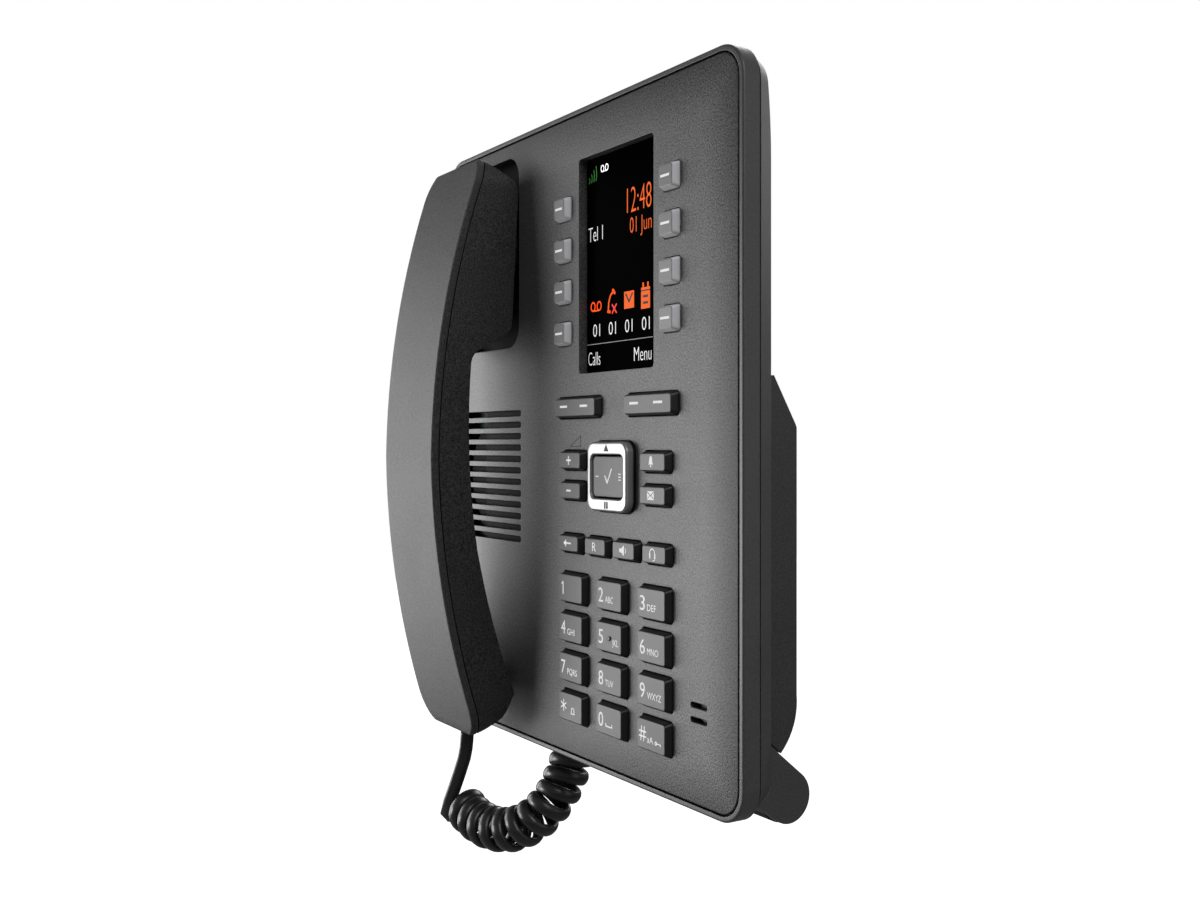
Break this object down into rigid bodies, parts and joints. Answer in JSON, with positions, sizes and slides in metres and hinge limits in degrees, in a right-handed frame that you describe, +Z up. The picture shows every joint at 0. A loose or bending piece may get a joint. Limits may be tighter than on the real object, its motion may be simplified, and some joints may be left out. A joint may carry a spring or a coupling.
{
  "type": "desk ip phone",
  "caption": "Corded office telephone with a flat keypad panel, display, side handset on a coiled cord, wall face and a fold-out desk stand.",
  "frame": {"origin": "middle of the flat wall face on the back of the rear hump", "axes": "+Z up the phone as it hangs, +Y out of its back towards the wall, +X towards the keypad side, to the user's right"},
  "size_m": [0.186, 0.0603, 0.2583],
  "materials": {
    "front_plastic": "fine-grained matte",
    "rim_plastic": "fine-grained matte",
    "rear_plastic": "matte",
    "foot_plastic": "matte",
    "stand_plastic": "matte",
    "handset_plastic": "fine-grained matte",
    "inner_plastic": "matte",
    "key_plastic": "satin",
    "line_key_plastic": "satin",
    "nav_metal": "polished",
    "window": "clear gloss",
    "screen": "gloss",
    "board": "solder mask",
    "silicone": "matte",
    "driver_metal": "satin",
    "capsule_metal": "satin",
    "connector_plastic": "satin",
    "cord_plastic": "gloss",
    "plug_plastic": "gloss",
    "rubber": "matte",
    "steel": "zinc plated"
  },
  "bodies": {
    "base": {"front_panel": "front_plastic", "bezel_frame": "rim_plastic", "rear_shell": "rear_plastic", "feet": "foot_plastic", "foot_pads": "rubber", "stand_hinge_pins": "steel", "case_screws": "steel", "display_lens": "window", "display_module": "screen", "main_board": "board", "keypad_mat": "silicone", "speaker_driver": "driver_metal", "base_microphone": "capsule_metal", "network_jacks": "connector_plastic", "handset_jack": "connector_plastic", "power_jack": "connector_plastic", "coil_cord": "cord_plastic", "cord_plug_base": "plug_plastic"},
    "handset": {"handset_outer_shell": "handset_plastic", "handset_inner_shell": "handset_plastic", "earpiece_capsule": "inner_plastic", "handset_microphone": "capsule_metal", "handset_weight": "steel", "cord_plug_handset": "plug_plastic"},
    "hook_plunger": {"hook_plunger": "inner_plastic"},
    "desk_stand": {"desk_stand": "stand_plastic", "stand_pads": "rubber"},
    "nav_pivot": {"nav_pivot": "inner_plastic"},
    "nav_ring": {"nav_ring": "nav_metal"},
    "nav_ok": {"nav_ok": "key_plastic"},
    "key_1": {"key_1": "key_plastic"},
    "key_2": {"key_2": "key_plastic"},
    "key_3": {"key_3": "key_plastic"},
    "key_4": {"key_4": "key_plastic"},
    "key_5": {"key_5": "key_plastic"},
    "key_6": {"key_6": "key_plastic"},
    "key_7": {"key_7": "key_plastic"},
    "key_8": {"key_8": "key_plastic"},
    "key_9": {"key_9": "key_plastic"},
    "key_star": {"key_star": "key_plastic"},
    "key_0": {"key_0": "key_plastic"},
    "key_hash": {"key_hash": "key_plastic"},
    "key_back": {"key_back": "key_plastic"},
    "key_recall": {"key_recall": "key_plastic"},
    "key_speaker": {"key_speaker": "key_plastic"},
    "key_headset": {"key_headset": "key_plastic"},
    "key_volume_up": {"key_volume_up": "key_plastic"},
    "key_volume_down": {"key_volume_down": "key_plastic"},
    "key_ringer": {"key_ringer": "key_plastic"},
    "key_messages": {"key_messages": "key_plastic"},
    "soft_key_left": {"soft_key_left": "key_plastic"},
    "soft_key_right": {"soft_key_right": "key_plastic"},
    "line_key_left_1": {"line_key_left_1": "line_key_plastic"},
    "line_key_left_2": {"line_key_left_2": "line_key_plastic"},
    "line_key_left_3": {"line_key_left_3": "line_key_plastic"},
    "line_key_left_4": {"line_key_left_4": "line_key_plastic"},
    "line_key_right_1": {"line_key_right_1": "line_key_plastic"},
    "line_key_right_2": {"line_key_right_2": "line_key_plastic"},
    "line_key_right_3": {"line_key_right_3": "line_key_plastic"},
    "line_key_right_4": {"line_key_right_4": "line_key_plastic"}
  },
  "joints": [
    {"name": "handset_lift", "type": "slide", "parent": "base", "child": "handset", "axis": [0, -1, 0], "range_m": [0, 0.06]},
    {"name": "hook_travel", "type": "slide", "parent": "base", "child": "hook_plunger", "axis": [0, -1, 0], "range_m": [0, 0.003]},
    {"name": "stand_fold", "type": "hinge", "parent": "base", "child": "desk_stand", "pos_m": [0, -0.0092, 0.0492], "axis": [1, 0, 0], "range_deg": [0, 85]},
    {"name": "nav_tilt_side", "type": "hinge", "parent": "base", "child": "nav_pivot", "pos_m": [0.0286, -0.0218, 0.0239], "axis": [0, 0, 1], "range_deg": [-2, 2], "stiffness_Nm_per_rad": 0.02},
    {"name": "nav_tilt_up", "type": "hinge", "parent": "nav_pivot", "child": "nav_ring", "pos_m": [0.0286, -0.0218, 0.0239], "axis": [1, 0, 0], "range_deg": [-2, 2], "stiffness_Nm_per_rad": 0.02},
    {"name": "nav_ok_press", "type": "slide", "parent": "base", "child": "nav_ok", "axis": [0, 1, 0], "range_m": [0, 0.0008], "stiffness_N_per_m": 60},
    {"name": "key_1_press", "type": "slide", "parent": "base", "child": "key_1", "axis": [0, 1, 0], "range_m": [0, 0.0008], "stiffness_N_per_m": 60},
    {"name": "key_2_press", "type": "slide", "parent": "base", "child": "key_2", "axis": [0, 1, 0], "range_m": [0, 0.0008], "stiffness_N_per_m": 60},
    {"name": "key_3_press", "type": "slide", "parent": "base", "child": "key_3", "axis": [0, 1, 0], "range_m": [0, 0.0008], "stiffness_N_per_m": 60},
    {"name": "key_4_press", "type": "slide", "parent": "base", "child": "key_4", "axis": [0, 1, 0], "range_m": [0, 0.0008], "stiffness_N_per_m": 60},
    {"name": "key_5_press", "type": "slide", "parent": "base", "child": "key_5", "axis": [0, 1, 0], "range_m": [0, 0.0008], "stiffness_N_per_m": 60},
    {"name": "key_6_press", "type": "slide", "parent": "base", "child": "key_6", "axis": [0, 1, 0], "range_m": [0, 0.0008], "stiffness_N_per_m": 60},
    {"name": "key_7_press", "type": "slide", "parent": "base", "child": "key_7", "axis": [0, 1, 0], "range_m": [0, 0.0008], "stiffness_N_per_m": 60},
    {"name": "key_8_press", "type": "slide", "parent": "base", "child": "key_8", "axis": [0, 1, 0], "range_m": [0, 0.0008], "stiffness_N_per_m": 60},
    {"name": "key_9_press", "type": "slide", "parent": "base", "child": "key_9", "axis": [0, 1, 0], "range_m": [0, 0.0008], "stiffness_N_per_m": 60},
    {"name": "key_star_press", "type": "slide", "parent": "base", "child": "key_star", "axis": [0, 1, 0], "range_m": [0, 0.0008], "stiffness_N_per_m": 60},
    {"name": "key_0_press", "type": "slide", "parent": "base", "child": "key_0", "axis": [0, 1, 0], "range_m": [0, 0.0008], "stiffness_N_per_m": 60},
    {"name": "key_hash_press", "type": "slide", "parent": "base", "child": "key_hash", "axis": [0, 1, 0], "range_m": [0, 0.0008], "stiffness_N_per_m": 60},
    {"name": "key_back_press", "type": "slide", "parent": "base", "child": "key_back", "axis": [0, 1, 0], "range_m": [0, 0.0008], "stiffness_N_per_m": 60},
    {"name": "key_recall_press", "type": "slide", "parent": "base", "child": "key_recall", "axis": [0, 1, 0], "range_m": [0, 0.0008], "stiffness_N_per_m": 60},
    {"name": "key_speaker_press", "type": "slide", "parent": "base", "child": "key_speaker", "axis": [0, 1, 0], "range_m": [0, 0.0008], "stiffness_N_per_m": 60},
    {"name": "key_headset_press", "type": "slide", "parent": "base", "child": "key_headset", "axis": [0, 1, 0], "range_m": [0, 0.0008], "stiffness_N_per_m": 60},
    {"name": "key_volume_up_press", "type": "slide", "parent": "base", "child": "key_volume_up", "axis": [0, 1, 0], "range_m": [0, 0.0008], "stiffness_N_per_m": 60},
    {"name": "key_volume_down_press", "type": "slide", "parent": "base", "child": "key_volume_down", "axis": [0, 1, 0], "range_m": [0, 0.0008], "stiffness_N_per_m": 60},
    {"name": "key_ringer_press", "type": "slide", "parent": "base", "child": "key_ringer", "axis": [0, 1, 0], "range_m": [0, 0.0008], "stiffness_N_per_m": 60},
    {"name": "key_messages_press", "type": "slide", "parent": "base", "child": "key_messages", "axis": [0, 1, 0], "range_m": [0, 0.0008], "stiffness_N_per_m": 60},
    {"name": "soft_key_left_press", "type": "slide", "parent": "base", "child": "soft_key_left", "axis": [0, 1, 0], "range_m": [0, 0.0008], "stiffness_N_per_m": 60},
    {"name": "soft_key_right_press", "type": "slide", "parent": "base", "child": "soft_key_right", "axis": [0, 1, 0], "range_m": [0, 0.0008], "stiffness_N_per_m": 60},
    {"name": "line_key_left_1_press", "type": "slide", "parent": "base", "child": "line_key_left_1", "axis": [0, 1, 0], "range_m": [0, 0.0008], "stiffness_N_per_m": 60},
    {"name": "line_key_left_2_press", "type": "slide", "parent": "base", "child": "line_key_left_2", "axis": [0, 1, 0], "range_m": [0, 0.0008], "stiffness_N_per_m": 60},
    {"name": "line_key_left_3_press", "type": "slide", "parent": "base", "child": "line_key_left_3", "axis": [0, 1, 0], "range_m": [0, 0.0008], "stiffness_N_per_m": 60},
    {"name": "line_key_left_4_press", "type": "slide", "parent": "base", "child": "line_key_left_4", "axis": [0, 1, 0], "range_m": [0, 0.0008], "stiffness_N_per_m": 60},
    {"name": "line_key_right_1_press", "type": "slide", "parent": "base", "child": "line_key_right_1", "axis": [0, 1, 0], "range_m": [0, 0.0008], "stiffness_N_per_m": 60},
    {"name": "line_key_right_2_press", "type": "slide", "parent": "base", "child": "line_key_right_2", "axis": [0, 1, 0], "range_m": [0, 0.0008], "stiffness_N_per_m": 60},
    {"name": "line_key_right_3_press", "type": "slide", "parent": "base", "child": "line_key_right_3", "axis": [0, 1, 0], "range_m": [0, 0.0008], "stiffness_N_per_m": 60},
    {"name": "line_key_right_4_press", "type": "slide", "parent": "base", "child": "line_key_right_4", "axis": [0, 1, 0], "range_m": [0, 0.0008], "stiffness_N_per_m": 60}
  ],
  "couplings": [
    {"joint": "hook_travel", "follows": "handset_lift", "ratio": 0.05}
  ]
}
